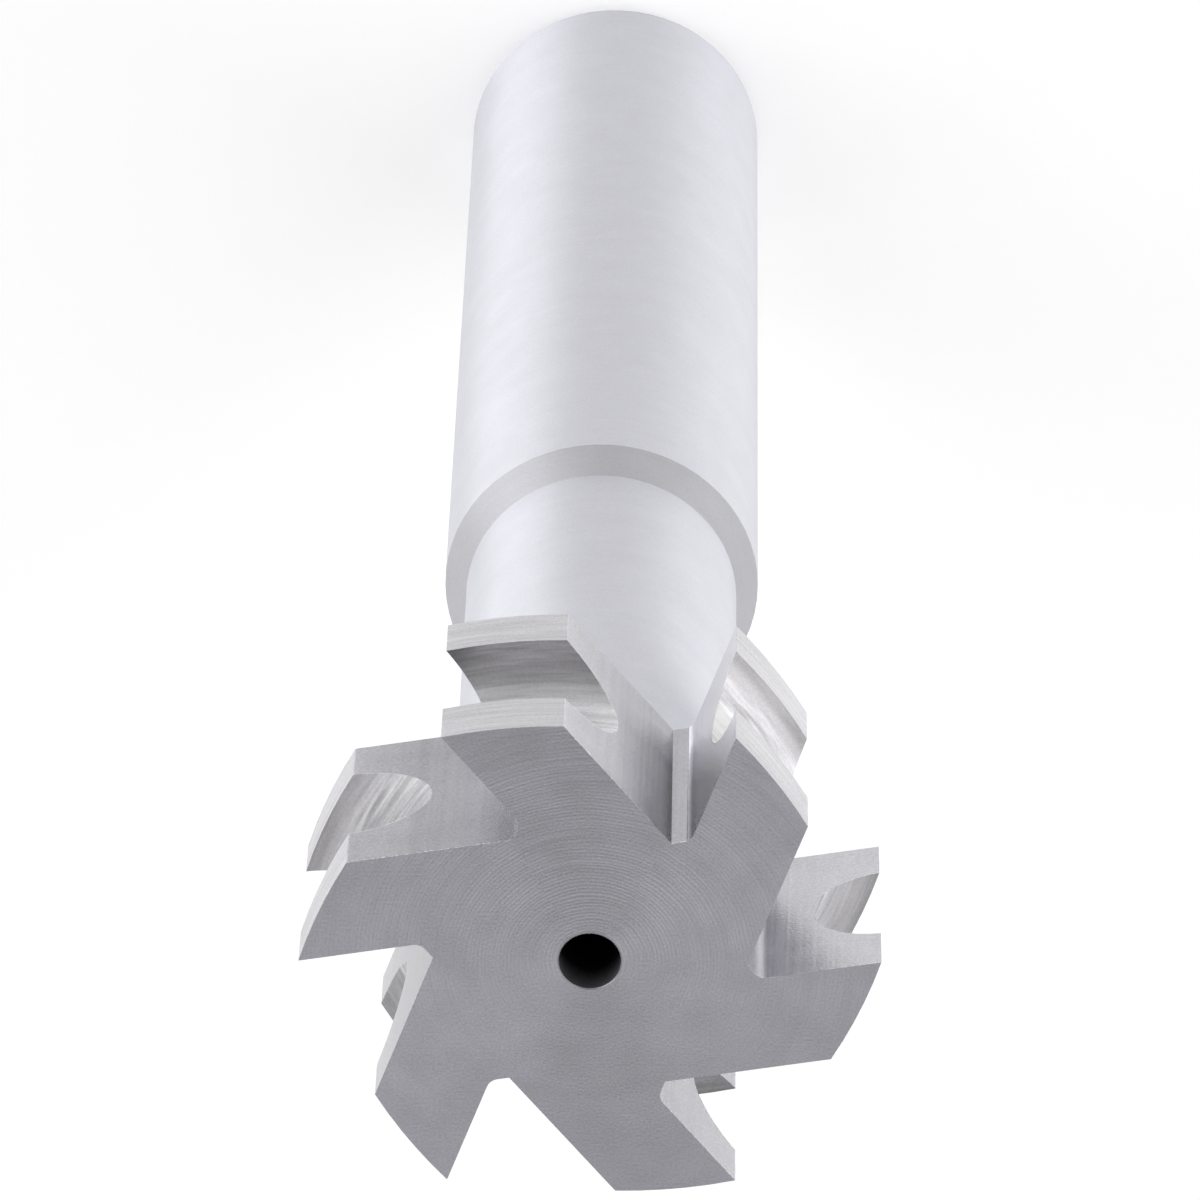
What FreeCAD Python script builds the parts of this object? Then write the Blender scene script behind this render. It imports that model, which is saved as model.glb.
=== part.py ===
"""Shank-type concave milling cutter, turned, gashed and relieved from one bar of high-speed steel.

Millimetres, +Z up. The cutter stands on the end of its shank: the origin is the centre of the
shank's end face, the shank and neck rise along +Z, and the toothed head is at the top. Seen from
above, the teeth cut counter-clockwise, and the first cutting edge lies on +X.
"""
import FreeCAD, Part
import math
import os

import Sketcher

NODE = "cutter"

# Name, size and meaning of every driving dimension. Lengths in millimetres, angles in degrees.
SIZES = [
    ("overall_length", "76.2", "shank end to front face, 3 inches"),
    ("shank_diameter", "12.7", "plain round shank, half an inch"),
    ("shank_end_chamfer", "0.5", "45 degree break round the shank's end"),
    ("shoulder_length", "1.05", "axial length of the cone between neck and shank"),
    ("neck_diameter", "10.95", "turned neck behind the head"),
    ("neck_length", "21.3", "back of the head to the start of the cone"),
    ("head_diameter", "22.0", "circle that the cutting edges run on"),
    ("groove_radius", "2.381", "half-round form in each tooth, 3/32 inch"),
    ("front_lip_width", "2.3", "land between the front face and the form"),
    ("back_lip_width", "2.14", "land between the form and the back of the head"),
    ("tooth_count", "6", "teeth, evenly spaced"),
    ("relief_radius", "20.0", "arc that the land follows behind the edge"),
    ("relief_angle", "17.5", "how steeply the land falls away at the edge"),
    ("rake_angle", "9.0", "hook of the cutting face, from radial"),
    ("gash_angle", "60.0", "between the cutting face and the back of the tooth ahead"),
    ("gash_floor_width", "0.75", "flat floor, measured between its sharp corners"),
    ("gash_root_fillet", "0.5", "between the cutting face and the floor"),
    ("cut_clearance", "0.445", "cuts stay this far outside the neck and run this far past the head"),
    ("centre_hole_diameter", "2.36", "blind hole in the front face"),
    ("centre_hole_depth", "6.0", "front face to the foot of its straight wall"),
    ("centre_hole_point_angle", "118.0", "full angle of its drilled bottom"),
    ("centre_hole_edge_break", "0.04", "small chamfer at its mouth"),
]

# Heights and radii that several features share, each written once in terms of the sheet.
SHANK_RADIUS = "Sizes.shank_diameter / 2"
NECK_RADIUS = "Sizes.neck_diameter / 2"
HEAD_RADIUS = "Sizes.head_diameter / 2"
HEAD_WIDTH = "(Sizes.front_lip_width + 2 * Sizes.groove_radius + Sizes.back_lip_width)"
FRONT = "Sizes.overall_length"
GROOVE_TOP = f"({FRONT} - Sizes.front_lip_width)"
HEAD_BACK = f"({FRONT} - {HEAD_WIDTH})"
GROOVE_BOTTOM = f"({HEAD_BACK} + Sizes.back_lip_width)"
NECK_FOOT = f"({HEAD_BACK} - Sizes.neck_length)"
PITCH = "360 / Sizes.tooth_count"
ROOT_RADIUS = f"({NECK_RADIUS} + Sizes.cut_clearance)"
# The first tooth's land is an arc about this point, which lies ahead of the edge and past the axis.
RELIEF_X = f"({HEAD_RADIUS} - Sizes.relief_radius * cos(Sizes.relief_angle))"
RELIEF_Y = "(Sizes.relief_radius * sin(Sizes.relief_angle))"

# How a sketch numbers its origin, its two axes (-1, -2) and the points of a line or arc (1, 2, 3).
ORIGIN_POINT = (-1, 1)
H_AXIS, V_AXIS = range(-1, -3, -1)
START, END, CENTRE = range(1, 4)


def make_sheet(document):
    """Write the driving dimensions as plain numbers that can be called by name."""
    sheet = document.addObject("Spreadsheet::Sheet", "Sizes")
    for row, (name, size, meaning) in enumerate(SIZES, start=1):
        sheet.set(f"A{row}", name)
        sheet.set(f"B{row}", size)
        sheet.set(f"C{row}", meaning)
        sheet.setAlias(f"B{row}", name)
    document.recompute()


def worked_out(owner, expression):
    """The present value of an expression over the sheet, as a plain number."""
    result = owner.evalExpression(expression)
    return float(getattr(result, "Value", result))


def heading(sketch, expression):
    """A unit vector at an angle from the sketch's level axis."""
    radians = math.radians(worked_out(sketch, expression))
    return FreeCAD.Vector(math.cos(radians), math.sin(radians), 0)


def origin_feature(body, role):
    """One of the body's own origin planes or axes."""
    return next(item for item in body.Origin.OriginFeatures if item.Role == role)


def new_sketch(body, name, plane, offset=()):
    """A sketch on one of the body's origin planes, moved off it by (axis, expression) pairs."""
    sketch = body.newObject("Sketcher::SketchObject", name)
    sketch.AttachmentSupport = [(origin_feature(body, plane), "")]
    sketch.MapMode = "FlatFace"
    for axis, expression in offset:
        sketch.setExpression(f".AttachmentOffset.Base.{axis}", expression)
    return sketch


def bind(sketch, name, expression, constraint):
    """Add a constraint under a name and tie its value to the sheet."""
    index = sketch.addConstraint(constraint)
    sketch.renameConstraint(index, name)
    sketch.setExpression(f"Constraints.{name}", expression)


def dimension(sketch, name, expression, kind, *where):
    """A length, distance or radius in a sketch."""
    value = worked_out(sketch, expression)
    bind(sketch, name, expression, Sketcher.Constraint(kind, *where, value))


def slope(sketch, name, expression, line):
    """The angle of a line, from its start to its end, above the sketch's level axis."""
    value = math.radians(worked_out(sketch, expression))
    bind(sketch, name, expression, Sketcher.Constraint("Angle", line, value))


def place_corner(sketch, name, line, end, across, along):
    """Fix a line's end by its two distances from the origin. None puts it on the axis."""
    if across is None:
        sketch.addConstraint(Sketcher.Constraint("PointOnObject", line, end, V_AXIS))
    else:
        dimension(sketch, f"{name}_x", across, "DistanceX", *ORIGIN_POINT, line, end)
    if along is None:
        sketch.addConstraint(Sketcher.Constraint("PointOnObject", line, end, H_AXIS))
    else:
        dimension(sketch, f"{name}_y", along, "DistanceY", *ORIGIN_POINT, line, end)


def corner_vector(sketch, across, along):
    """Where a corner lies at the sheet's present values."""
    return FreeCAD.Vector(*(worked_out(sketch, part) if part else 0 for part in (across, along)), 0)


def outline(sketch, corners, closed=True):
    """Straight lines through (name, across, along) corners. Returns the last line's number."""
    points = [corner_vector(sketch, across, along) for _, across, along in corners]
    following = points[1:] + points[:1] if closed else points[1:]
    for start, end in zip(points, following):
        last = sketch.addGeometry(Part.LineSegment(start, end), False)
    for index, (name, across, along) in enumerate(corners):
        line, end = (index, START) if index <= last else (last, END)
        place_corner(sketch, name, line, end, across, along)
        if 0 < index <= last:
            sketch.addConstraint(Sketcher.Constraint("Coincident", index - 1, END, index, START))
    if closed:
        sketch.addConstraint(Sketcher.Constraint("Coincident", last, END, 0, START))
    return last


def turned(body, kind, name, sketch):
    """A full turn of a profile about its sketch's upright axis."""
    feature = body.newObject(kind, name)
    feature.Profile = sketch
    feature.ReferenceAxis = (sketch, ["V_Axis"])
    feature.Angle = 360
    return feature


def turn_blank(body):
    """The bar turned to shank, cone, neck and head, before any tooth is cut."""
    sketch = new_sketch(body, "BlankProfile", "XZ_Plane")
    outline(sketch, [
        ("foot_centre", None, None),
        ("end_face_rim", f"{SHANK_RADIUS} - Sizes.shank_end_chamfer", None),
        ("shank_foot", SHANK_RADIUS, "Sizes.shank_end_chamfer"),
        ("shank_top", SHANK_RADIUS, f"{NECK_FOOT} - Sizes.shoulder_length"),
        ("neck_foot", NECK_RADIUS, NECK_FOOT),
        ("neck_top", NECK_RADIUS, HEAD_BACK),
        ("head_back", HEAD_RADIUS, HEAD_BACK),
        ("head_front", HEAD_RADIUS, FRONT),
        ("front_centre", None, FRONT),
    ])
    return turned(body, "PartDesign::Revolution", "Blank", sketch)


def relieve_tooth(body):
    """Cut the half-round form and the falling lands of the first tooth in one sweep.

    The profile is swept about its own axis, set off from the cutter's, so that lands and form
    fall away together behind the edge. The sweep starts ahead of the tooth, clear of the blank,
    and ends in the gash behind, on a line through the root circle under the next edge back.
    """
    sketch = new_sketch(body, "ToothForm", "XZ_Plane", [("x", RELIEF_X), ("z", f"-{RELIEF_Y}")])
    land = "Sizes.relief_radius"
    outside = f"Sizes.relief_radius + {HEAD_RADIUS}"
    above = f"{FRONT} + Sizes.cut_clearance"
    below = f"{HEAD_BACK} - Sizes.cut_clearance"
    last = outline(sketch, [
        ("form_top", land, GROOVE_TOP),
        ("above_land", land, above),
        ("above_outside", outside, above),
        ("below_outside", outside, below),
        ("below_land", land, below),
        ("form_bottom", land, GROOVE_BOTTOM),
    ], closed=False)
    # An arc that is as deep as its radius in the plane of the edge is a little flatter here.
    floor = f"sqrt(({HEAD_RADIUS} - Sizes.groove_radius - {RELIEF_X})^2 + {RELIEF_Y}^2)"
    depth = f"({land} - {floor})"
    form_centre = f"{floor} + (Sizes.groove_radius^2 + {depth}^2) / (2 * {depth})"
    middle = f"({GROOVE_TOP} + {GROOVE_BOTTOM}) / 2"
    through = [(land, GROOVE_TOP), (floor, middle), (land, GROOVE_BOTTOM)]
    arc = Part.Arc(*(corner_vector(sketch, *point) for point in through))
    form = sketch.addGeometry(arc, False)
    sketch.addConstraint(Sketcher.Constraint("Coincident", form, START, 0, START))
    sketch.addConstraint(Sketcher.Constraint("Coincident", form, END, last, END))
    dimension(sketch, "form_centre_x", form_centre, "DistanceX", *ORIGIN_POINT, form, CENTRE)
    relief = turned(body, "PartDesign::Groove", "ToothRelief", sketch)
    relief.Reversed = True
    end_across = f"{ROOT_RADIUS} * cos({PITCH}) - {RELIEF_X}"
    end_along = f"{ROOT_RADIUS} * sin({PITCH}) + {RELIEF_Y}"
    relief.setExpression("Angle", f"atan2({end_along}; {end_across})")
    return relief


def mill_gash(body):
    """Cut the gash ahead of the first tooth, straight along the axis through the whole head.

    Its walls are the hooked cutting face of this tooth and the back of the tooth ahead. The
    floor lies square to the line that halves the gash, and stays just outside the neck.
    """
    sketch = new_sketch(body, "GashProfile", "XY_Plane", [("z", FRONT)])
    face_angle = "Sizes.rake_angle"
    back_angle = f"{face_angle} + Sizes.gash_angle"
    floor_angle = f"{face_angle} + Sizes.gash_angle / 2 + 90"
    face_way = heading(sketch, face_angle)
    back_way = heading(sketch, back_angle)
    floor_way = heading(sketch, floor_angle)
    # These places are only near the right ones. The constraints below settle them.
    edge = corner_vector(sketch, HEAD_RADIUS, None)
    corner = edge - face_way * (edge.Length - worked_out(sketch, ROOT_RADIUS))
    foot = corner + floor_way * worked_out(sketch, "Sizes.gash_floor_width")
    fillet_radius = worked_out(sketch, "Sizes.gash_root_fillet")
    setback = fillet_radius / math.tan(face_way.getAngle(floor_way) / 2)
    face_foot = corner + face_way * setback
    face_end = edge + face_way * edge.Length
    back_end = foot + back_way * edge.Length
    fillet_centre = face_foot + heading(sketch, f"{face_angle} + 90") * fillet_radius
    fillet_circle = Part.Circle(fillet_centre, FreeCAD.Vector(0, 0, 1), fillet_radius)
    fillet_from = math.radians(worked_out(sketch, f"{floor_angle} + 90"))
    fillet_to = math.radians(worked_out(sketch, f"{face_angle} + 270"))
    face = sketch.addGeometry(Part.LineSegment(face_foot, face_end), False)
    mouth = sketch.addGeometry(Part.LineSegment(face_end, back_end), False)
    back = sketch.addGeometry(Part.LineSegment(foot, back_end), False)
    floor = sketch.addGeometry(Part.LineSegment(corner + floor_way * setback, foot), False)
    fillet = sketch.addGeometry(Part.ArcOfCircle(fillet_circle, fillet_from, fillet_to), False)
    edge_point = sketch.addGeometry(Part.Point(edge), True)
    corner_point = sketch.addGeometry(Part.Point(corner), True)
    for rule in (
        ("Coincident", face, END, mouth, START),
        ("Coincident", mouth, END, back, END),
        ("Coincident", floor, END, back, START),
        ("Tangent", floor, START, fillet, START),
        ("Tangent", fillet, END, face, START),
        ("PointOnObject", edge_point, START, H_AXIS),
        ("PointOnObject", edge_point, START, face),
        ("PointOnObject", corner_point, START, face),
        ("PointOnObject", corner_point, START, floor),
    ):
        sketch.addConstraint(Sketcher.Constraint(*rule))
    slope(sketch, "face_slope", face_angle, face)
    slope(sketch, "back_slope", back_angle, back)
    slope(sketch, "floor_slope", floor_angle, floor)
    dimension(sketch, "edge_radius", HEAD_RADIUS, "DistanceX", *ORIGIN_POINT, edge_point, START)
    dimension(sketch, "root_radius", ROOT_RADIUS, "Distance", *ORIGIN_POINT, floor, END)
    dimension(sketch, "root_fillet", "Sizes.gash_root_fillet", "Radius", fillet)
    floor_ends = (corner_point, START, floor, END)
    dimension(sketch, "floor_width", "Sizes.gash_floor_width", "Distance", *floor_ends)
    # Both walls run on far enough that the mouth between their ends clears the blank.
    for name, wall in (("face_reach", face), ("back_reach", back)):
        dimension(sketch, name, "Sizes.head_diameter", "Distance", *ORIGIN_POINT, wall, END)
    gash = body.newObject("PartDesign::Pocket", "Gash")
    gash.Profile = sketch
    gash.Type = "Length"
    gash.Reversed = False
    gash.setExpression("Length", f"{HEAD_WIDTH} + Sizes.cut_clearance")
    return gash


def repeat_teeth(body, cuts):
    """Carry the first tooth's cuts round the head."""
    teeth = body.newObject("PartDesign::PolarPattern", "Teeth")
    teeth.Originals = cuts
    teeth.Axis = (origin_feature(body, "Z_Axis"), [""])
    teeth.Angle = 360
    teeth.setExpression("Occurrences", "Sizes.tooth_count")
    body.Tip = teeth
    return teeth


def drill_centre_hole(body):
    """The blind centre hole in the front face, with its drilled bottom and broken edge."""
    sketch = new_sketch(body, "CentreHoleProfile", "XZ_Plane")
    radius = "Sizes.centre_hole_diameter / 2"
    edge_break = "Sizes.centre_hole_edge_break"
    wall_foot = f"{FRONT} - Sizes.centre_hole_depth"
    outline(sketch, [
        ("mouth_centre", None, FRONT),
        ("mouth_rim", f"{radius} + {edge_break}", FRONT),
        ("wall_top", radius, f"{FRONT} - {edge_break}"),
        ("wall_foot", radius, wall_foot),
        ("drill_point", None, f"{wall_foot} - {radius} / tan(Sizes.centre_hole_point_angle / 2)"),
    ])
    return turned(body, "PartDesign::Groove", "CentreHole", sketch)


def check_cut(body, feature, before):
    """Stop if a cut has taken nothing off, as one that points away from the metal does."""
    body.Document.recompute()
    if not feature.Shape.Volume < before.Shape.Volume:
        raise RuntimeError(f"{feature.Name} cuts nothing")
    return feature


def check_document(document, body):
    """Stop if any object has failed or the finished shape is unsound."""
    failed = [item.Name for item in document.Objects if {"Invalid", "Error"} & set(item.State)]
    if failed:
        raise RuntimeError(f"failed objects: {failed}")
    if body.Shape.isNull() or not body.Shape.isValid() or len(body.Shape.Solids) != 1:
        raise RuntimeError(f"{body.Label} is not one sound solid")


def make_cutter(document):
    """The whole cutter, in the order that it is machined."""
    body = document.addObject("PartDesign::Body", "Cutter")
    body.Label = NODE
    blank = turn_blank(body)
    document.recompute()
    relief = check_cut(body, relieve_tooth(body), blank)
    gash = check_cut(body, mill_gash(body), relief)
    teeth = check_cut(body, repeat_teeth(body, [relief, gash]), gash)
    check_cut(body, drill_centre_hole(body), teeth)
    return body


def main():
    document = FreeCAD.newDocument("ConcaveMillingCutter")
    make_sheet(document)
    body = make_cutter(document)
    check_document(document, body)
    os.makedirs("parts", exist_ok=True)
    body.Shape.exportStep(f"parts/{body.Label}.step")
    print(f"{body.Label}: one solid of {body.Shape.Volume:.2f} cubic mm")


main()
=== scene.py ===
"""Looks for the concave milling cutter: one procedural ground steel, a pale floor and soft light.

Everything is in the part's own frame. Blender works in metres. Sizes that follow the part are
written in millimetres and turned into metres, or into nodes that work in millimetres.
"""
import math
from collections import namedtuple
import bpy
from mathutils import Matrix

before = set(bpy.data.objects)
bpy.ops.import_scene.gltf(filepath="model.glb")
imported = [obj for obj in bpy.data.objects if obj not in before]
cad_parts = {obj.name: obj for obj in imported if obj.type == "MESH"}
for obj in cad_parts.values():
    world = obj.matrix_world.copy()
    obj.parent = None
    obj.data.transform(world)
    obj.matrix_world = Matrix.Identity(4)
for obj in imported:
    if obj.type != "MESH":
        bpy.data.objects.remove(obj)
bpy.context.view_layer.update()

from types import SimpleNamespace

import bpy
from mathutils import Matrix, Vector

MM = 0.001

# The part's driving sizes, in millimetres, used to tell its surfaces apart.
OVERALL_LENGTH = 76.2
HEAD_RADIUS = 11.0
FRONT_LIP_WIDTH = 2.3
BACK_LIP_WIDTH = 2.14
GROOVE_RADIUS = 2.381
NECK_LENGTH = 21.3
SHOULDER_LENGTH = 1.05
TOOTH_PITCH = math.radians(60)
RELIEF_RADIUS = 20.0
RELIEF_ANGLE = math.radians(17.5)
HOLE_RADIUS = 1.18
HOLE_EDGE_BREAK = 0.04

# Heights that follow from them.
FRONT_Z = OVERALL_LENGTH
GROOVE_Z = FRONT_Z - FRONT_LIP_WIDTH - GROOVE_RADIUS
HEAD_BACK_Z = GROOVE_Z - GROOVE_RADIUS - BACK_LIP_WIDTH
NECK_FOOT_Z = HEAD_BACK_Z - NECK_LENGTH
SHANK_TOP_Z = NECK_FOOT_Z - SHOULDER_LENGTH

# The first tooth's land is an arc about this axis. The form is as deep as its radius at the edge,
# and a little flatter in a plane through the axis, where it is an arc of this radius and centre.
RELIEF_X = HEAD_RADIUS - RELIEF_RADIUS * math.cos(RELIEF_ANGLE)
RELIEF_Y = RELIEF_RADIUS * math.sin(RELIEF_ANGLE)
FORM_FLOOR = math.hypot(HEAD_RADIUS - GROOVE_RADIUS - RELIEF_X, RELIEF_Y)
FORM_DEPTH = RELIEF_RADIUS - FORM_FLOOR
FORM_ARC_RADIUS = (GROOVE_RADIUS**2 + FORM_DEPTH**2) / (2 * FORM_DEPTH)
FORM_ARC_CENTRE = FORM_FLOOR + FORM_ARC_RADIUS

# How far a point of the mesh may lie from the true surface or height, in millimetres, and how far
# a cutting edge may lie from the start of its sixth of the turn, in sixths.
FACET = 0.035
EDGE_SLACK = 0.004
TURN_SLACK = 1e-6
# The foot of a tooth's back reaches at most this far past its own sixth of the turn, in radians.
BACK_FOOT = 0.05

# Which way a surface faces, as limits on its normal: first along +Z, then along the turn.
UPRIGHT = 0.2
CONE_RISE = 0.3
UNDERSIDE = -0.5
FACE_ROUND = 0.9
BACK_ROUND = -0.3

# How a surface is finished. Roughness is the shader's own. Fine lines, broad streaks, grain and
# mottling change the colour by these shares, and the slope is how steeply the fine lines tilt the
# surface. Drift is how fast the fine lines change along their length, and lines and streaks are
# how many lie across a millimetre.
Finish = namedtuple("Finish", "roughness fine broad grain mottle slope drift lines streaks")
TURNED = Finish(0.50, 0.02, 0.01, 0.12, 0.10, 0.01, 0.30, 9.0, 1.9)
FINISHES = {
    "front": Finish(0.38, 0.06, 0.03, 0.36, 0.10, 0.03, 0.30, 9.0, 1.9),
    "land": Finish(0.46, 0.22, 0.08, 0.30, 0.10, 0.10, 0.30, 6.5, 1.9),
    "groove": Finish(0.36, 0.36, 0.20, 0.30, 0.10, 0.22, 0.50, 6.5, 3.0),
    "wall": Finish(0.25, 0.02, 0.02, 0.44, 0.24, 0.05, 0.12, 5.0, 2.5),
    "cone": TURNED._replace(roughness=0.58),
}
STREAK_DRIFT = 0.10
# The values of the noise that make the darkest and the lightest lines, and the step from one
# tooth's lines to the next one's.
LINE_NOISE = (0.28, 0.72)
TOOTH_SEED = 7.3
GRAINS_PER_MM = 10.0
MOTTLES_PER_MM = 0.5
MOTTLE_ROUGHNESS = 0.08
# The walls of the gashes have stronger fine lines near their roots, growing between these radii.
ROOT_LINES = 0.10
ROOT_LINE_RADII = (9.0, 6.5)
# The feed rings of the front wander with the mottling and the streaks, come and go in patches
# of the mottling, and fade outwards.
RINGS_PER_MM = 7.0
RING_SHADE = 0.045
RING_SLOPE = 0.025
RING_MOTTLE_WANDER = 9.0
RING_STREAK_WANDER = 3.0
RING_PATCHES = (0.35, 0.60, 0.30, 1.0)
RING_FADE = (3.0, 9.0, 1.3, 0.7)
# The grain's bump, in millimetres, and how far the marks draw highlights out.
BUMP_STRENGTH = 0.5
BUMP_DEPTH = 0.01
TURNED_ANISOTROPY = 0.9
PLAIN_ANISOTROPY = 0.4

# Where the colours change, in millimetres: the walls of the gashes are painted darker towards
# their roots, as painted shade. Then how far up the form faces where it is painted darker, as
# painted shade, and where one tooth's groove takes its painted highlight.
WALL_SHADE_RADII = (6.0, 10.0)
FORM_SHADE_RISE = (0.50, 0.95)
HIGHLIGHT_RISE = (0.75, 0.60)
HOLE_SHADOW = 1.6
# The painted edge highlight's raggedness and its offset from the front, in millimetres.
EDGE_HIGHLIGHT_RAGGED = 0.28
EDGE_HIGHLIGHT_TOP = 0.12

# Painted light and shade, tooth by tooth, by the teeth's numbers: each tooth's surfaces are made
# lighter or darker to stand in for what they reflect. The strongest are a painted highlight on the
# cutting face of tooth 1 and a painted dark reflection on the root of the back of tooth 2. The
# cutting edge of tooth 0 lies on +X. The edge of a back is its outer part, and the root its inner
# part above the neck.
BACK_EDGE_RADII = (6.0, 8.0)
BACK_ROOT_RADII = (7.7, 6.1)
BACK_ROOT_HEIGHTS = (69.8, 71.8)
BACK_ROOT_RAGGED = 3.0
TOOTH_PAINTED_SHADES = {
    -2: {"back_edge": -0.08, "groove": -0.15},
    -1: {"face": -0.05, "groove": -0.34},
    0: {"back_root": -0.08, "groove": 0.08},
    1: {"face": 0.90, "groove": 0.03},
    2: {"gash_floor": 0.20, "back_root": -0.72, "groove": 0.05},
    3: {"back_edge": -0.21, "groove": -0.04},
}
HIGHLIGHT_TOOTH = 1

# The studio. The walls fade into the ceiling between two elevations, in degrees like all angles
# here. Each row of soft boxes has an elevation and a half height, and each box in it an azimuth,
# a half width and a strength. Their edges are this soft.
FLOOR_SIZE = 6.0
FLOOR_GLOW = 0.25
WALLS = 0.35
CEILING = 0.10
CEILING_FADE = (50.0, 70.0)
SOFT_BOXES = (
    (48, 13, ((10, 40, 2.35), (180, 30, 1.1), (270, 40, 0.3))),
    (25, 20, ((145, 25, 1.6),)),
    (24, 15, ((225, 35, 0.82), (300, 35, 0.62), (90, 30, 0.2), (5, 30, 0.15))),
)
ROW_EDGE = 5.0
BOX_EDGE = 8.0

# The camera, fitted to the outlines in the photograph. Angles in degrees, places in millimetres.
CAMERA_TARGET = (-0.045, 0.0, 46.0)
CAMERA_DISTANCE = 390.75
CAMERA_AZIMUTH = 88.116
CAMERA_ELEVATION = 63.150
CAMERA_ROLL = -178.195
CAMERA_LENS = 289.37
CAMERA_SENSOR = 36.0


def rgb(red, green, blue):
    return (red, green, blue, 1.0)


TURNED_STEEL = rgb(0.785, 0.782, 0.835)
FRONT_STEEL = rgb(0.605, 0.597, 0.650)
LAND_STEEL = rgb(0.75, 0.742, 0.765)
GROOVE_FACING_OUT = rgb(0.72, 0.712, 0.735)
GROOVE_PAINTED_SHADE_UP = rgb(0.56, 0.548, 0.568)
GROOVE_PAINTED_HIGHLIGHT = rgb(0.97, 0.96, 0.95)
FACE_ROOT_SHADE = rgb(0.49, 0.485, 0.52)
BACK_ROOT_SHADE = rgb(0.35, 0.345, 0.38)
GASH_FLOOR_SHADE = rgb(0.42, 0.415, 0.445)
GASH_MOUTH = rgb(0.56, 0.555, 0.585)
CONE_STEEL = rgb(0.635, 0.63, 0.665)
HOLE_DEEP = rgb(0.03, 0.03, 0.035)
HOLE_MOUTH = rgb(0.32, 0.32, 0.35)
HOLE_RIM = rgb(0.38, 0.375, 0.40)
EDGE_HIGHLIGHT = rgb(0.74, 0.735, 0.76)
PALE_FLOOR = rgb(0.92, 0.92, 0.92)
WHITE = rgb(1.0, 1.0, 1.0)


class Graph:
    """Short ways to add nodes to one tree. Inputs may be numbers, colours or other sockets."""

    def __init__(self, tree):
        self.tree = tree
        tree.nodes.clear()

    def add(self, kind, inputs=(), **settings):
        node = self.tree.nodes.new(kind)
        for name, value in settings.items():
            setattr(node, name, value)
        for key, value in dict(inputs).items():
            self.feed(node.inputs[key], value)
        return node

    def feed(self, socket, value):
        if isinstance(value, bpy.types.NodeSocket):
            self.tree.links.new(value, socket)
        else:
            socket.default_value = value

    def math(self, operation, a, b=0.0, c=0.0):
        return self.add("ShaderNodeMath", {0: a, 1: b, 2: c}, operation=operation).outputs[0]

    def vector(self, operation, a, b=(0, 0, 0)):
        key = 3 if operation == "SCALE" else 1
        node = self.add("ShaderNodeVectorMath", {0: a, key: b}, operation=operation)
        scalar = operation in ("DOT_PRODUCT", "LENGTH")
        return node.outputs["Value" if scalar else "Vector"]

    def join(self, x, y, z):
        return self.add("ShaderNodeCombineXYZ", {0: x, 1: y, 2: z}).outputs[0]

    def split(self, vector):
        return self.add("ShaderNodeSeparateXYZ", {0: vector}).outputs

    def times(self, a, b):
        return self.math("MULTIPLY", a, b)

    def minus(self, a, b):
        return self.math("SUBTRACT", a, b)

    def plus(self, total, value, weight=1.0):
        """A total and a value times its weight."""
        return self.math("MULTIPLY_ADD", value, weight, total)

    def above(self, value, limit):
        return self.math("GREATER_THAN", value, limit)

    def below(self, value, limit):
        return self.math("LESS_THAN", value, limit)

    def equals(self, value, whole):
        """Whether a whole number is this one."""
        return self.math("COMPARE", value, whole, 0.5)

    def both(self, *masks):
        result = masks[0]
        for mask in masks[1:]:
            result = self.times(result, mask)
        return result

    def either(self, *masks):
        result = masks[0]
        for mask in masks[1:]:
            result = self.math("MAXIMUM", result, mask)
        return result

    def inverse(self, mask):
        return self.minus(1.0, mask)

    def mix(self, factor, a, b):
        """From number a to number b."""
        return self.add("ShaderNodeMix", {0: factor, 2: a, 3: b}, data_type="FLOAT").outputs[0]

    def blend(self, factor, a, b):
        """From vector a to vector b."""
        return self.add("ShaderNodeMix", {0: factor, 4: a, 5: b}, data_type="VECTOR").outputs[1]

    def tint(self, factor, a, b):
        """From colour a to colour b."""
        return self.add("ShaderNodeMix", {0: factor, 6: a, 7: b}, data_type="RGBA").outputs[2]

    def pick(self, choices, otherwise):
        """The number whose mask is on."""
        result = otherwise
        for mask, value in choices:
            result = self.mix(mask, result, value)
        return result

    def weigh(self, pairs, total=0.0):
        """The sum of each value times its weight."""
        for value, weight in pairs:
            total = self.plus(total, value, weight)
        return total

    def noise(self, vector, scale, detail=1.0):
        inputs = {"Vector": vector, "Scale": scale, "Detail": detail, "Roughness": 0.6}
        return self.add("ShaderNodeTexNoise", inputs, noise_dimensions="3D").outputs[0]

    def level(self, value, low, high, to_low=0.0, to_high=1.0):
        """Straight-line change of range, held inside the new range."""
        inputs = {0: value, 1: low, 2: high, 3: to_low, 4: to_high}
        return self.add("ShaderNodeMapRange", inputs, clamp=True).outputs[0]


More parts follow.
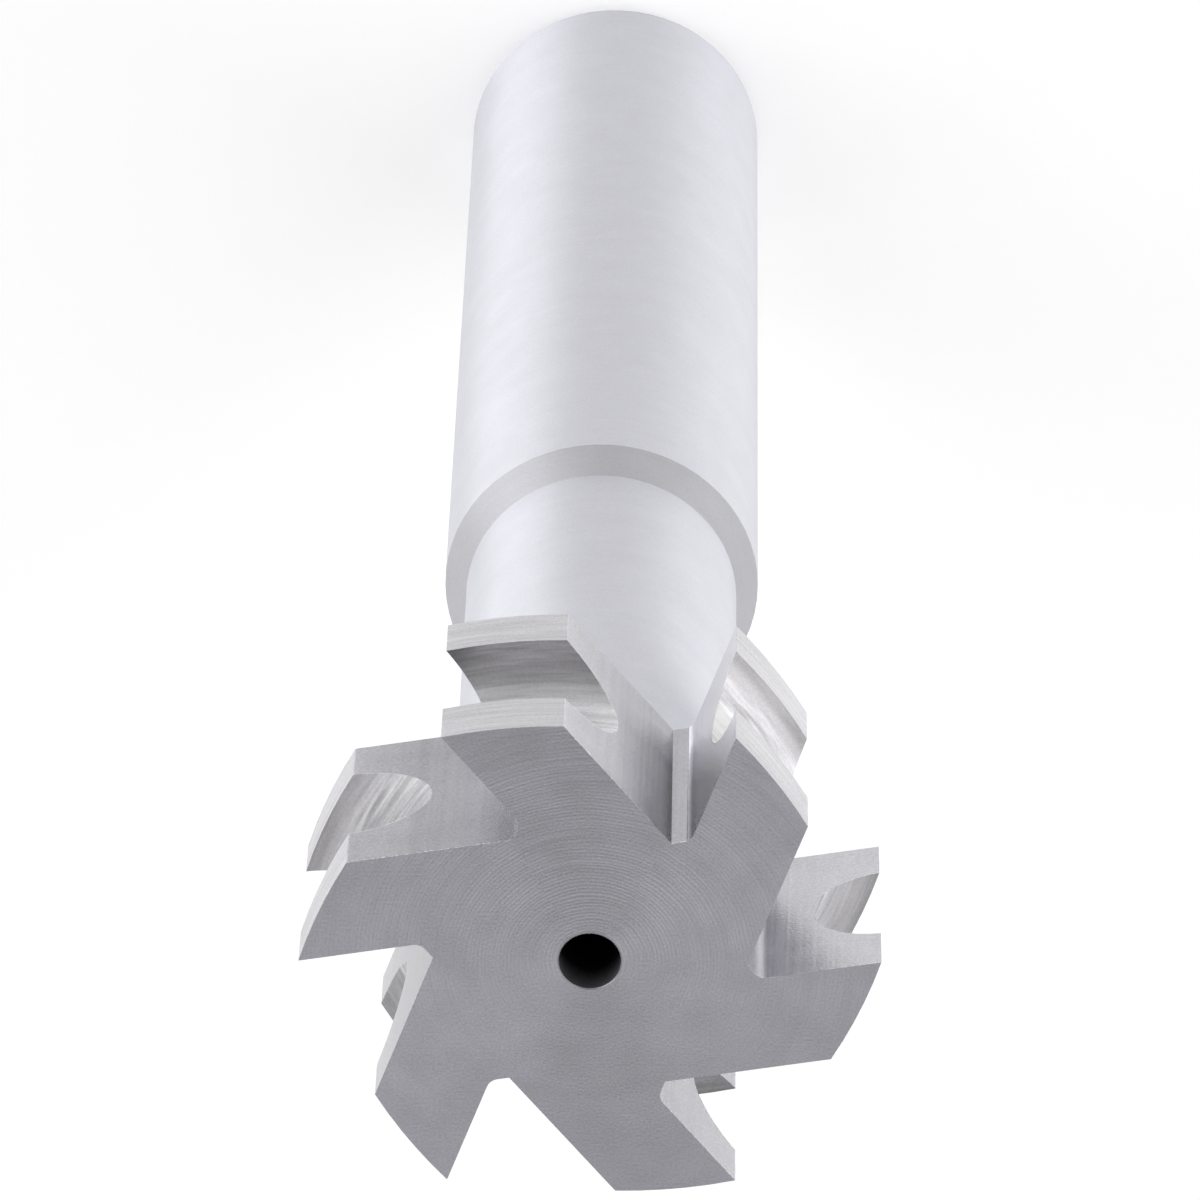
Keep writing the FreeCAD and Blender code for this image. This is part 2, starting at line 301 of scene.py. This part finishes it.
def find_place(g):
    """Where this is on the cutter, in millimetres and radians, and on the arcs of its own tooth."""
    point = g.vector("SCALE", g.add("ShaderNodeTexCoord").outputs["Object"], 1 / MM)
    normal = g.add("ShaderNodeNewGeometry").outputs["Normal"]
    x, y, z = g.split(point)
    radius = g.vector("LENGTH", g.join(x, y, 0.0))
    angle = g.math("ARCTAN2", y, x)

    # A tooth fills the sixth of the turn behind its cutting edge. Turned back to the first tooth,
    # its lands are arcs about the relief axis.
    tooth = g.math("CEIL", g.minus(g.math("DIVIDE", angle, TOOTH_PITCH), TURN_SLACK))
    turn = g.times(tooth, TOOTH_PITCH)
    past_edge = g.minus(angle, turn)
    from_axis_x = g.minus(g.times(radius, g.math("COSINE", past_edge)), RELIEF_X)
    from_axis_y = g.minus(g.times(radius, g.math("SINE", past_edge)), RELIEF_Y)
    relief_radius = g.vector("LENGTH", g.join(from_axis_x, from_axis_y, 0.0))
    relief_turn = g.plus(turn, g.math("ARCTAN2", from_axis_y, from_axis_x))
    backwards = g.times(g.math("SINE", relief_turn), -1.0)
    return SimpleNamespace(
        point=point,
        normal=normal,
        normal_z=g.split(normal)[2],
        z=z,
        radius=radius,
        round_way=g.vector("NORMALIZE", g.vector("CROSS_PRODUCT", (0, 0, 1), point)),
        tooth=tooth,
        past_edge=past_edge,
        relief_radius=relief_radius,
        relief_way=g.join(backwards, g.math("COSINE", relief_turn), 0.0),
        form_out=g.minus(relief_radius, FORM_ARC_CENTRE),
        form_up=g.minus(z, GROOVE_Z),
    )


def find_surface(g, at):
    """Which surface this is. Each mask is 0 or 1."""
    form_radius = g.vector("LENGTH", g.join(at.form_out, at.form_up, 0.0))
    off_land = g.math("ABSOLUTE", g.minus(at.relief_radius, RELIEF_RADIUS))
    off_form = g.math("ABSOLUTE", g.minus(form_radius, FORM_ARC_RADIUS))
    upright = g.below(g.math("ABSOLUTE", at.normal_z), UPRIGHT)
    in_hole = g.below(at.radius, HOLE_RADIUS + HOLE_EDGE_BREAK + EDGE_SLACK)
    front = g.both(g.above(at.z, FRONT_Z - EDGE_SLACK), g.inverse(in_hole))
    head = g.both(g.above(at.z, HEAD_BACK_Z + EDGE_SLACK), g.inverse(g.either(front, in_hole)))
    land = g.both(head, g.below(off_land, FACET), upright)
    groove = g.both(head, g.below(off_form, FACET), g.inverse(land))
    form_relieved = g.plus(land, groove)
    wall = g.both(head, g.inverse(form_relieved))

    # The wall of a gash is a cutting face, the back of the tooth ahead, or the floor between them.
    facing_round = g.vector("DOT_PRODUCT", at.normal, at.round_way)
    face = g.both(wall, g.above(facing_round, FACE_ROUND))
    back = g.both(wall, g.below(facing_round, BACK_ROUND))
    return SimpleNamespace(
        front=front,
        in_hole=in_hole,
        hole=g.both(in_hole, g.above(at.z, HEAD_BACK_Z)),
        land=land,
        groove=groove,
        form_relieved=form_relieved,
        wall=wall,
        face=face,
        back=back,
        gash_floor=g.both(wall, g.inverse(g.plus(face, back))),
        head_back=g.both(
            g.below(at.z, HEAD_BACK_Z + EDGE_SLACK),
            g.above(at.z, NECK_FOOT_Z),
            g.below(at.normal_z, UNDERSIDE),
        ),
        cone=g.both(
            g.below(at.z, NECK_FOOT_Z),
            g.above(at.z, SHANK_TOP_Z),
            g.above(at.normal_z, CONE_RISE),
        ),
    )


def finish(g, on, quality):
    """One number of the finish, from surface to surface."""
    usual = getattr(TURNED, quality)
    own = {surface: getattr(row, quality) for surface, row in FINISHES.items()}
    unusual = [(getattr(on, surface), value) for surface, value in own.items() if value != usual]
    return g.pick(unusual, usual)


def find_marks(g, at, on):
    """The tool's marks: fine lines, broad streaks, feed rings on the front, grain and mottling."""
    # How far across the marks this is, in millimetres, and which way lies across them.
    along_form = g.times(g.math("ARCTAN2", at.form_up, g.times(at.form_out, -1.0)), FORM_ARC_RADIUS)
    level_way = g.vector("CROSS_PRODUCT", at.normal, (0.0, 0.0, 1.0))
    along_wall = g.vector("DOT_PRODUCT", at.point, level_way)
    faced = g.either(on.front, on.head_back)
    across = g.pick(((faced, at.radius), (on.groove, along_form), (on.wall, along_wall)), at.z)
    marks_way = g.blend(on.form_relieved, at.round_way, at.relief_way)
    marks_way = g.blend(on.wall, marks_way, (0.0, 0.0, 1.0))
    across_way = g.vector("NORMALIZE", g.vector("CROSS_PRODUCT", at.normal, marks_way))

    def lines(drift, lines_per_mm, detail):
        lift = g.join(g.times(at.tooth, TOOTH_SEED), 0.0, g.times(across, lines_per_mm))
        drawn_out = g.noise(g.vector("ADD", g.vector("SCALE", at.point, drift), lift), 1.0, detail)
        return g.level(drawn_out, *LINE_NOISE)

    fine = lines(finish(g, on, "drift"), finish(g, on, "lines"), 1.0)
    broad = lines(STREAK_DRIFT, finish(g, on, "streaks"), 0.0)
    grain = g.noise(at.point, GRAINS_PER_MM)
    mottle = g.noise(at.point, MOTTLES_PER_MM)

    wander = g.plus(g.times(broad, RING_STREAK_WANDER), mottle, RING_MOTTLE_WANDER)
    rings = g.math("SINE", g.plus(wander, at.radius, RINGS_PER_MM * math.tau))
    patches = g.level(mottle, *RING_PATCHES)
    rings = g.both(rings, on.front, patches, g.level(at.radius, *RING_FADE))
    return SimpleNamespace(
        across_way=across_way,
        rings=rings,
        grain=grain,
        mottle=mottle,
        fine_swing=g.minus(fine, 0.5),
        broad_swing=g.minus(broad, 0.5),
        grain_swing=g.minus(grain, 0.5),
        mottle_swing=g.minus(mottle, 0.5),
    )


def surface_colour(g, at, on, marks):
    """The steel's colour from surface to surface, with painted shade in the hollows and painted
    highlights, before its marks and the painted tooth shades.
    """
    colour = g.tint(on.front, TURNED_STEEL, FRONT_STEEL)
    colour = g.tint(on.land, colour, LAND_STEEL)

    # Painted shade: the form is lighter where it faces out and darker where it faces up.
    facing_up = g.level(at.normal_z, *FORM_SHADE_RISE)
    groove_colour = g.tint(facing_up, GROOVE_FACING_OUT, GROOVE_PAINTED_SHADE_UP)
    # Painted highlight: one tooth's groove is painted near white where it faces out.
    facing_out = g.level(at.normal_z, *HIGHLIGHT_RISE)
    painted_highlight = g.both(g.equals(at.tooth, HIGHLIGHT_TOOTH), facing_out)
    groove_colour = g.tint(painted_highlight, groove_colour, GROOVE_PAINTED_HIGHLIGHT)
    colour = g.tint(on.groove, colour, groove_colour)

    # Painted shade: the walls of the gashes darken towards their roots, the backs most and the
    # faces least.
    root_shade_colour = g.tint(on.face, GASH_FLOOR_SHADE, FACE_ROOT_SHADE)
    root_shade_colour = g.tint(on.back, root_shade_colour, BACK_ROOT_SHADE)
    wall_colour = g.tint(g.level(at.radius, *WALL_SHADE_RADII), root_shade_colour, GASH_MOUTH)
    colour = g.tint(on.wall, colour, wall_colour)
    colour = g.tint(on.cone, colour, CONE_STEEL)

    # Painted shade: the hole darkens with depth.
    hole_colour = g.tint(g.level(at.z, FRONT_Z - HOLE_SHADOW, FRONT_Z), HOLE_DEEP, HOLE_MOUTH)
    colour = g.tint(on.hole, colour, hole_colour)
    rim = g.both(on.in_hole, g.above(at.z, FRONT_Z - HOLE_EDGE_BREAK - EDGE_SLACK))
    colour = g.tint(rim, colour, HOLE_RIM)

    # A ragged bright line, a painted edge highlight, where the walls of the gashes meet the front.
    edge_highlight = g.both(on.wall, g.above(g.plus(at.z, marks.grain, EDGE_HIGHLIGHT_RAGGED), FRONT_Z + EDGE_HIGHLIGHT_TOP))
    return g.tint(edge_highlight, colour, EDGE_HIGHLIGHT)


def marks_shade(g, at, on, marks):
    """How much lighter or darker the marks make the steel, as a share."""
    near_root = g.both(on.wall, g.level(at.radius, *ROOT_LINE_RADII, 0.0, ROOT_LINES))
    return g.weigh((
        (marks.fine_swing, g.plus(finish(g, on, "fine"), near_root)),
        (marks.broad_swing, finish(g, on, "broad")),
        (marks.grain_swing, finish(g, on, "grain")),
        (marks.mottle_swing, finish(g, on, "mottle")),
        (marks.rings, RING_SHADE),
    ))


def painted_tooth_shade(g, at, on, marks):
    """Painted light and shade: how much lighter or darker this tooth is painted than the others
    here, as a share.
    """
    own_tooth = g.plus(at.tooth, g.both(on.back, g.above(at.past_edge, -BACK_FOOT)))
    ragged_z = g.plus(at.z, marks.mottle, BACK_ROOT_RAGGED)
    in_root = g.both(g.level(at.radius, *BACK_ROOT_RADII), g.level(ragged_z, *BACK_ROOT_HEIGHTS))
    places = {
        "face": on.face,
        "gash_floor": on.gash_floor,
        "back_root": g.both(on.back, in_root),
        "back_edge": g.both(on.back, g.level(at.radius, *BACK_EDGE_RADII)),
        "groove": on.groove,
    }
    shade = 0.0
    for tooth, shares in TOOTH_PAINTED_SHADES.items():
        tooth_own = g.weigh([(places[place], share) for place, share in shares.items()])
        shade = g.plus(shade, g.equals(own_tooth, tooth), tooth_own)
    return shade


def marked_normal(g, at, on, marks):
    """Each mark's side tilts the surface across the marks, and the grain roughens it."""
    tilt = g.weigh(((marks.fine_swing, finish(g, on, "slope")), (marks.rings, RING_SLOPE)))
    tilted = g.vector("ADD", at.normal, g.vector("SCALE", marks.across_way, tilt))
    inputs = {
        "Strength": BUMP_STRENGTH,
        "Distance": BUMP_DEPTH * MM,
        "Height": marks.grain,
        "Normal": g.vector("NORMALIZE", tilted),
    }
    return g.add("ShaderNodeBump", inputs).outputs[0]


def steel_material():
    """One ground steel whose finish changes from surface to surface as the tools left it, with
    painted light and shade in parts of its colour.
    """
    material = bpy.data.materials.new("ground_steel")
    material.use_nodes = True
    g = Graph(material.node_tree)
    at = find_place(g)
    on = find_surface(g, at)
    marks = find_marks(g, at, on)
    shade = g.plus(marks_shade(g, at, on, marks), painted_tooth_shade(g, at, on, marks))
    colour = g.vector("SCALE", surface_colour(g, at, on, marks), g.plus(shade, 1.0))
    shared = {
        "Base Color": g.vector("MINIMUM", colour, (1.0, 1.0, 1.0)),
        "Metallic": 1.0,
        "Roughness": g.plus(finish(g, on, "roughness"), marks.mottle_swing, MOTTLE_ROUGHNESS),
        "Tangent": marks.across_way,
        "Normal": marked_normal(g, at, on, marks),
    }

    def metal(anisotropy):
        inputs = {**shared, "Anisotropic": anisotropy}
        return g.add("ShaderNodeBsdfPrincipled", inputs).outputs[0]

    # Turned and relieved surfaces have marks all round, which draw their highlights out lengthwise.
    plain = g.either(on.front, on.wall, on.hole, on.head_back, on.cone)
    shaders = {0: plain, 1: metal(TURNED_ANISOTROPY), 2: metal(PLAIN_ANISOTROPY)}
    mixed = g.add("ShaderNodeMixShader", shaders)
    g.add("ShaderNodeOutputMaterial", {"Surface": mixed.outputs[0]})
    return material


def floor_material():
    """Near white. Where it is seen, directly or in the metal, a little glow tops it up to white."""
    material = bpy.data.materials.new("pale_floor")
    material.use_nodes = True
    g = Graph(material.node_tree)
    light_path = g.add("ShaderNodeLightPath").outputs
    rays = ("Is Camera Ray", "Is Glossy Ray", "Is Transmission Ray")
    seen = g.either(*(light_path[ray] for ray in rays))
    diffuse = g.add("ShaderNodeBsdfDiffuse", {"Color": PALE_FLOOR})
    glow = g.add("ShaderNodeEmission", {"Color": WHITE, "Strength": g.times(seen, FLOOR_GLOW)})
    both = g.add("ShaderNodeAddShader", {0: diffuse.outputs[0], 1: glow.outputs[0]})
    g.add("ShaderNodeOutputMaterial", {"Surface": both.outputs[0]})
    return material


def add_floor():
    mesh = bpy.data.meshes.new("floor")
    half = FLOOR_SIZE / 2
    corners = [(-half, -half, 0), (half, -half, 0), (half, half, 0), (-half, half, 0)]
    mesh.from_pydata(corners, [], [(0, 1, 2, 3)])
    floor = bpy.data.objects.new("floor", mesh)
    bpy.context.scene.collection.objects.link(floor)
    mesh.materials.append(floor_material())


def row_of_boxes(g, turn, boxes):
    """How bright the boxes of one row are at each part of a turn, as a ramp with soft ends."""
    strongest = max(strength for _, _, strength in boxes)

    def grey(azimuth):
        total = 0.0
        for middle, half_width, strength in boxes:
            off = abs((azimuth - middle + 180.0) % 360.0 - 180.0)
            share = (half_width + BOX_EDGE - off) / (2 * BOX_EDGE)
            total += strength * min(max(share, 0.0), 1.0)
        return rgb(*[total / strongest] * 3)

    node = g.add("ShaderNodeValToRGB", {0: turn})
    stops = node.color_ramp.elements
    stops[0].color = stops[1].color = grey(0.0)
    for middle, half_width, _ in boxes:
        for reach in (half_width - BOX_EDGE, half_width + BOX_EDGE):
            for azimuth in ((middle - reach) % 360.0, (middle + reach) % 360.0):
                stops.new(azimuth / 360.0).color = grey(azimuth)
    return g.times(node.outputs["Color"], strongest)


def add_world():
    """A dim studio with rows of large soft boxes round the cutter."""
    world = bpy.data.worlds.new("studio")
    bpy.context.scene.world = world
    world.use_nodes = True
    g = Graph(world.node_tree)
    x, y, z = g.split(g.add("ShaderNodeTexCoord").outputs["Generated"])
    turn = g.math("WRAP", g.math("DIVIDE", g.math("ARCTAN2", y, x), math.tau), 1.0, 0.0)
    elevation = g.math("DEGREES", g.math("ARCSINE", z))
    strength = g.level(elevation, *CEILING_FADE, WALLS, CEILING)
    for middle, half_height, boxes in SOFT_BOXES:
        risen = g.math("ABSOLUTE", g.minus(elevation, middle))
        row = g.level(risen, half_height + ROW_EDGE, half_height - ROW_EDGE)
        strength = g.plus(strength, row, row_of_boxes(g, turn, boxes))
    background = g.add("ShaderNodeBackground", {"Color": WHITE, "Strength": strength})
    g.add("ShaderNodeOutputWorld", {"Surface": background.outputs[0]})


def direction_from(azimuth, elevation):
    """A unit vector, with azimuth from +X towards +Y and elevation above the floor, in degrees."""
    a, e = math.radians(azimuth), math.radians(elevation)
    return Vector((math.cos(e) * math.cos(a), math.cos(e) * math.sin(a), math.sin(e)))


def add_camera():
    """Looks down on the teeth, rolled so that the shank runs up the picture."""
    roll = math.radians(CAMERA_ROLL)
    back = direction_from(CAMERA_AZIMUTH, CAMERA_ELEVATION)
    level = Vector((0, 0, 1)).cross(back).normalized()
    upright = back.cross(level)
    right = level * math.cos(roll) + upright * math.sin(roll)
    up = back.cross(right)
    camera = bpy.data.cameras.new("camera")
    camera.sensor_width = CAMERA_SENSOR
    camera.lens = CAMERA_LENS
    camera.clip_start = 0.01
    camera.clip_end = 20.0
    holder = bpy.data.objects.new("camera", camera)
    place = (Vector(CAMERA_TARGET) + back * CAMERA_DISTANCE) * MM
    turned = Matrix((right, up, back)).transposed().to_4x4()
    holder.matrix_world = Matrix.Translation(place) @ turned
    bpy.context.scene.collection.objects.link(holder)
    bpy.context.scene.camera = holder


steel = steel_material()
for material_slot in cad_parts["cutter"].material_slots:
    material_slot.material = steel

add_floor()
add_world()
add_camera()
bpy.context.scene.view_settings.view_transform = "Standard"
